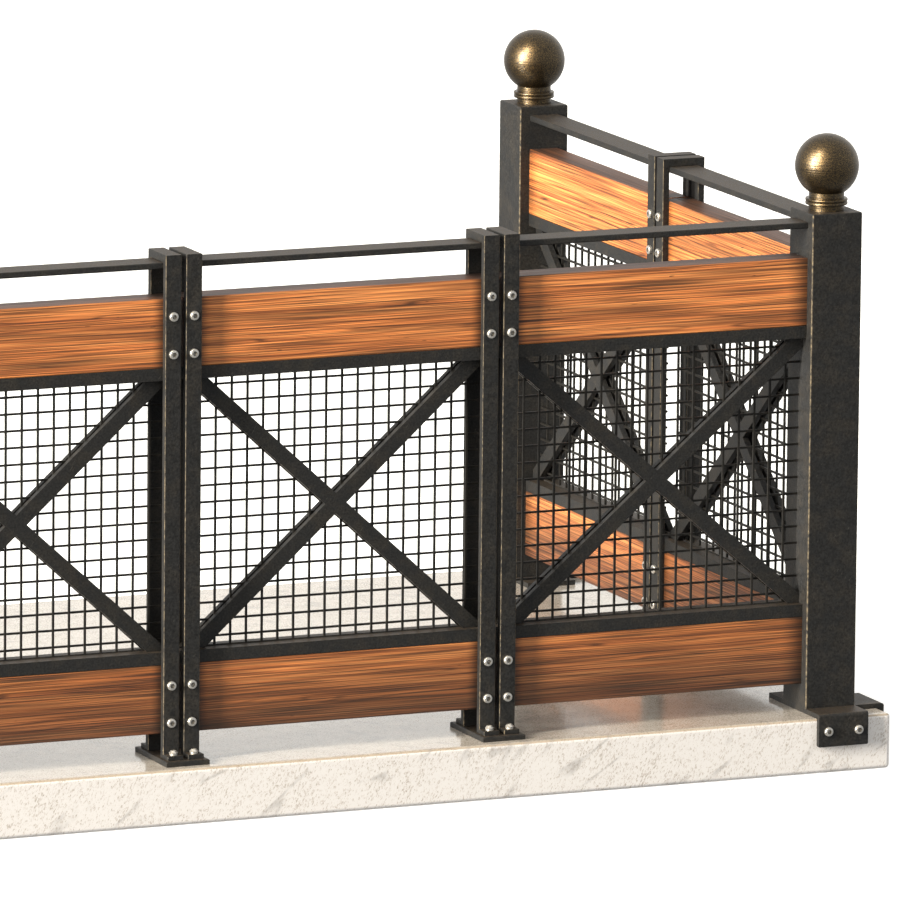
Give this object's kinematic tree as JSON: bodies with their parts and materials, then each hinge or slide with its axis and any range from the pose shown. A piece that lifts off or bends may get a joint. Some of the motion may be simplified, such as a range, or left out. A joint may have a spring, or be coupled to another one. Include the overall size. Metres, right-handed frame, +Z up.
{
  "type": "balcony railing",
  "caption": "L-shaped corner railing with crossed-brace wire lattice panels and timber planks between steel stiles and ball-topped newels, standing on a stone slab.",
  "frame": {"origin": "underside of the stone slab, on the axis of the corner newel", "axes": "+X along the front run towards the corner newel, +Y along the side run towards the rear, +Z up"},
  "size_m": [3.014, 1.674, 1.2675],
  "materials": {
    "granite": "polished",
    "dark_steel": "blackened, satin, worn at the edges",
    "bronze": "dark patina, satin",
    "timber": "oiled, satin"
  },
  "bodies": {
    "root": {"stone_slab": "granite", "ball_finials": "bronze", "left_newel": "dark_steel", "left_newel_base": "dark_steel", "corner_newel": "dark_steel", "corner_newel_base": "dark_steel", "rear_newel": "dark_steel", "rear_newel_base": "dark_steel", "front_bay_1_lower_plank": "timber", "front_bay_1_upper_plank": "timber", "front_bay_1_handrail": "dark_steel", "front_bay_1_lattice_frame": "dark_steel", "front_bay_1_mesh": "dark_steel", "front_bay_2_lower_plank": "timber", "front_bay_2_upper_plank": "timber", "front_bay_2_handrail": "dark_steel", "front_bay_2_lattice_frame": "dark_steel", "front_bay_2_mesh": "dark_steel", "front_bay_3_lower_plank": "timber", "front_bay_3_upper_plank": "timber", "front_bay_3_handrail": "dark_steel", "front_bay_3_lattice_frame": "dark_steel", "front_bay_3_mesh": "dark_steel", "front_bay_4_lower_plank": "timber", "front_bay_4_upper_plank": "timber", "front_bay_4_handrail": "dark_steel", "front_bay_4_lattice_frame": "dark_steel", "front_bay_4_mesh": "dark_steel", "front_stile_pair_1": "dark_steel", "front_stile_base_1": "dark_steel", "front_stile_pair_2": "dark_steel", "front_stile_base_2": "dark_steel", "front_stile_pair_3": "dark_steel", "front_stile_base_3": "dark_steel", "side_bay_1_lower_plank": "timber", "side_bay_1_upper_plank": "timber", "side_bay_1_handrail": "dark_steel", "side_bay_1_lattice_frame": "dark_steel", "side_bay_1_mesh": "dark_steel", "side_bay_2_lower_plank": "timber", "side_bay_2_upper_plank": "timber", "side_bay_2_handrail": "dark_steel", "side_bay_2_lattice_frame": "dark_steel", "side_bay_2_mesh": "dark_steel", "side_stile_pair_1": "dark_steel", "side_stile_base_1": "dark_steel"}
  },
  "joints": []
}
